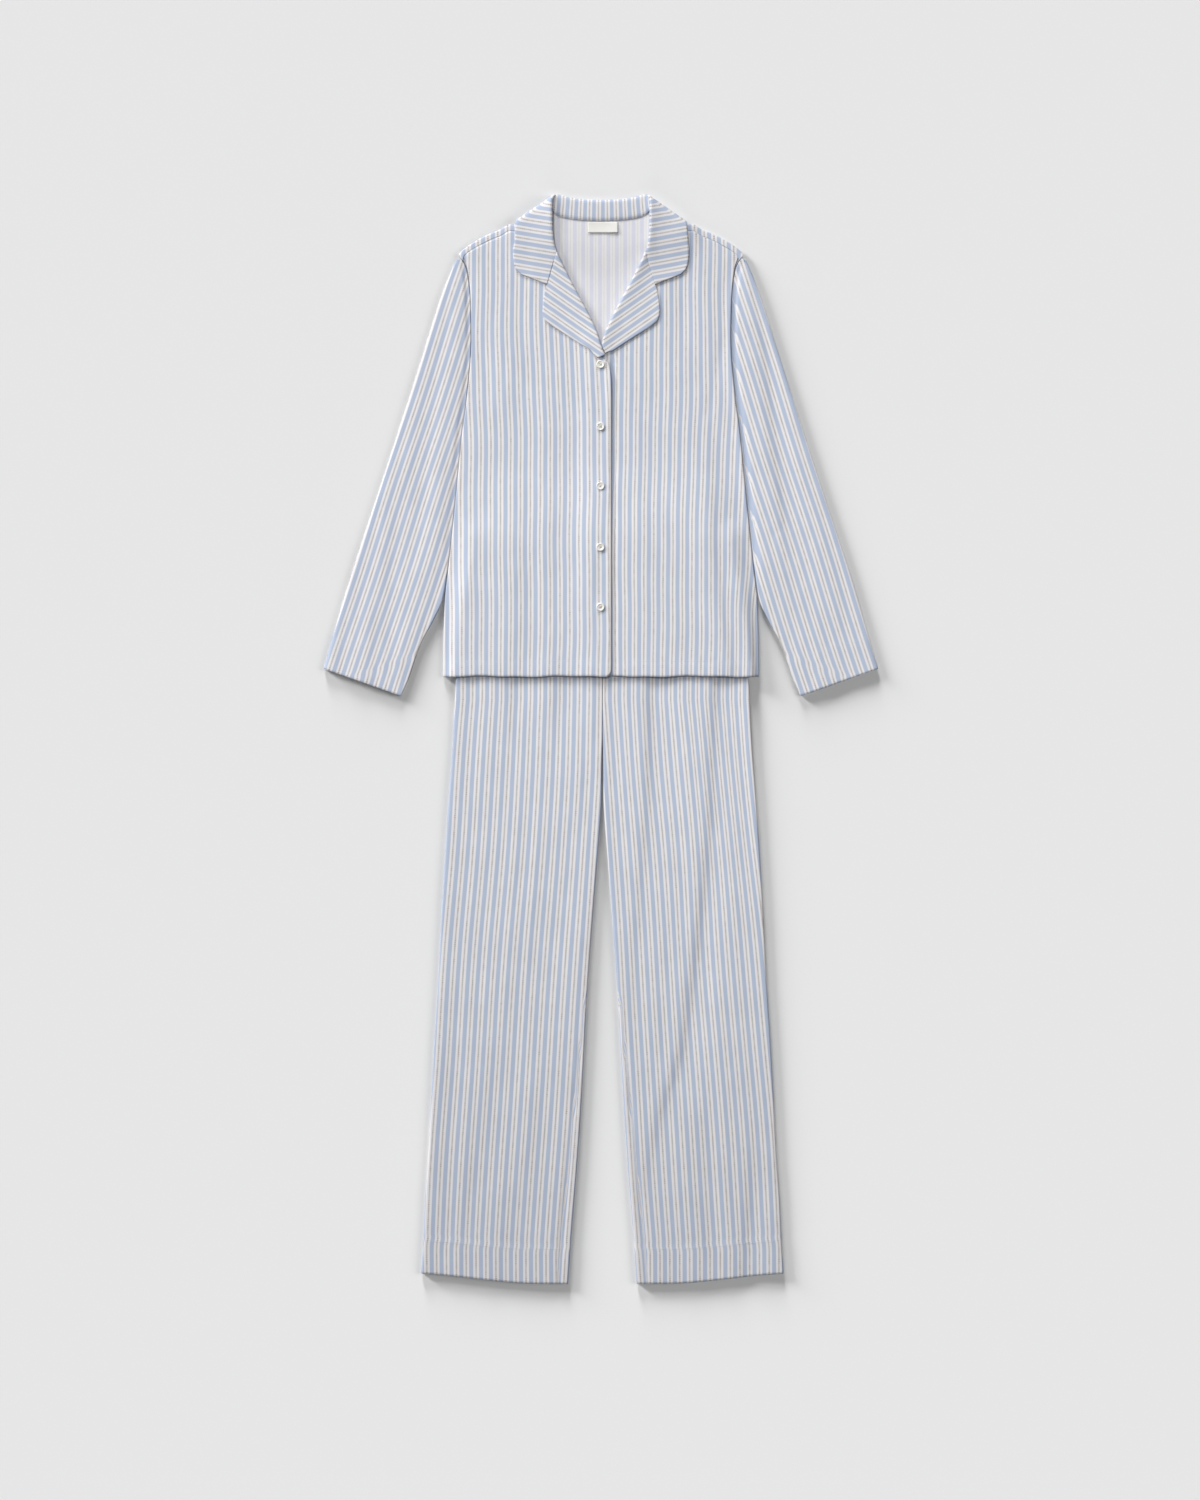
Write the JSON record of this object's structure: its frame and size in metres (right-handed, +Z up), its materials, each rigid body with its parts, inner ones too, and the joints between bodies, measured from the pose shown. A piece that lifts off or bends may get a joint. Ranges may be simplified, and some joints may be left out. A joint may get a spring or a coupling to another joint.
{
  "type": "pyjama set",
  "caption": "Striped pyjama set laid flat: a long-sleeved button-front top with a notched collar, lying over straight full-length trousers.",
  "frame": {"origin": "under the middle of the whole set, on the plane that it lies on", "axes": "+X towards the wearer's left, +Y from the trouser hems to the collar, +Z up from the surface"},
  "size_m": [0.776, 1.5226, 0.0148],
  "materials": {
    "flannel": "matte brushed cotton, blue and white stripes with a dotted taupe pin line",
    "wrong_side": "matte, the paler wrong side of the same cotton",
    "label": "smooth woven tape, blank",
    "button": "soft pearl gloss"
  },
  "bodies": {
    "root": {"top_back": "wrong_side", "top_front_right": "flannel", "top_front_left": "flannel", "sleeve_right": "flannel", "sleeve_left": "flannel", "collar": "flannel", "lapel_right": "flannel", "lapel_left": "flannel", "neck_label": "label", "trouser_front_right": "flannel", "trouser_front_left": "flannel", "trouser_back_right": "flannel", "trouser_back_left": "flannel", "waistband": "flannel", "button_1": "button", "button_2": "button", "button_3": "button", "button_4": "button", "button_5": "button"}
  },
  "joints": []
}
